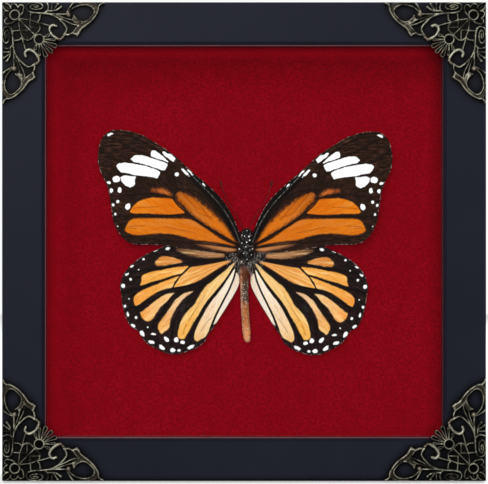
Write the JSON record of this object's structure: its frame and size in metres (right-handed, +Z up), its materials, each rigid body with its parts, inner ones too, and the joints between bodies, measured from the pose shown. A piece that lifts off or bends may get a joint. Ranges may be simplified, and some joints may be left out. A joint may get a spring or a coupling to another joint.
{
  "type": "framed butterfly specimen",
  "caption": "Spread butterfly on red velvet in a glazed black box frame with cast filigree corners; stands on its lower edge or hangs on a wall.",
  "frame": {"origin": "centre of the frame's lower edge, on the surface that it stands on", "axes": "+Z up, +X to the right seen from the front, +Y from the glass to the back"},
  "size_m": [0.13, 0.0332, 0.1286],
  "materials": {
    "frame_lacquer": "blue-black satin lacquer on wood, with a pale rubbed inner edge",
    "spacer_card": "matt black card",
    "point_steel": "bright thin steel",
    "clear_glass": "clear float glass",
    "red_velvet": "short-pile crimson velvet",
    "mount_card": "grey board",
    "hardboard": "brown hardboard",
    "hanger_brass": "brass-plated steel strip",
    "nail_steel": "bright steel",
    "antique_bronze": "antique bronze casting, dark in its recesses, rubbed bright on its edges",
    "forewing_scales": "dry wing scales, orange, black and white",
    "hindwing_scales": "dry wing scales, pale orange and cream with black veins",
    "antenna_dark": "dry dark chitin",
    "insect_body": "dry hairy body, black thorax with white specks, brown abdomen"
  },
  "bodies": {
    "root": {"rail_bottom": "frame_lacquer", "rail_right": "frame_lacquer", "rail_top": "frame_lacquer", "rail_left": "frame_lacquer", "spacer_bottom": "spacer_card", "spacer_right": "spacer_card", "spacer_top": "spacer_card", "spacer_left": "spacer_card", "framing_point_bottom_a": "point_steel", "framing_point_bottom_b": "point_steel", "framing_point_right_a": "point_steel", "framing_point_right_b": "point_steel", "framing_point_top_a": "point_steel", "framing_point_top_b": "point_steel", "framing_point_left_a": "point_steel", "framing_point_left_b": "point_steel", "glass_pane": "clear_glass", "red_velvet": "red_velvet", "mount_board": "mount_card", "back_board": "hardboard", "sawtooth_hanger": "hanger_brass", "hanger_nail_left": "nail_steel", "hanger_nail_right": "nail_steel", "corner_ornament_bottom_left": "antique_bronze", "corner_ornament_bottom_right": "antique_bronze", "corner_ornament_top_right": "antique_bronze", "corner_ornament_top_left": "antique_bronze", "forewing_left": "forewing_scales", "forewing_right": "forewing_scales", "hindwing_left": "hindwing_scales", "hindwing_right": "hindwing_scales", "antenna_left": "antenna_dark", "antenna_right": "antenna_dark", "butterfly_body": "insect_body"}
  },
  "joints": []
}
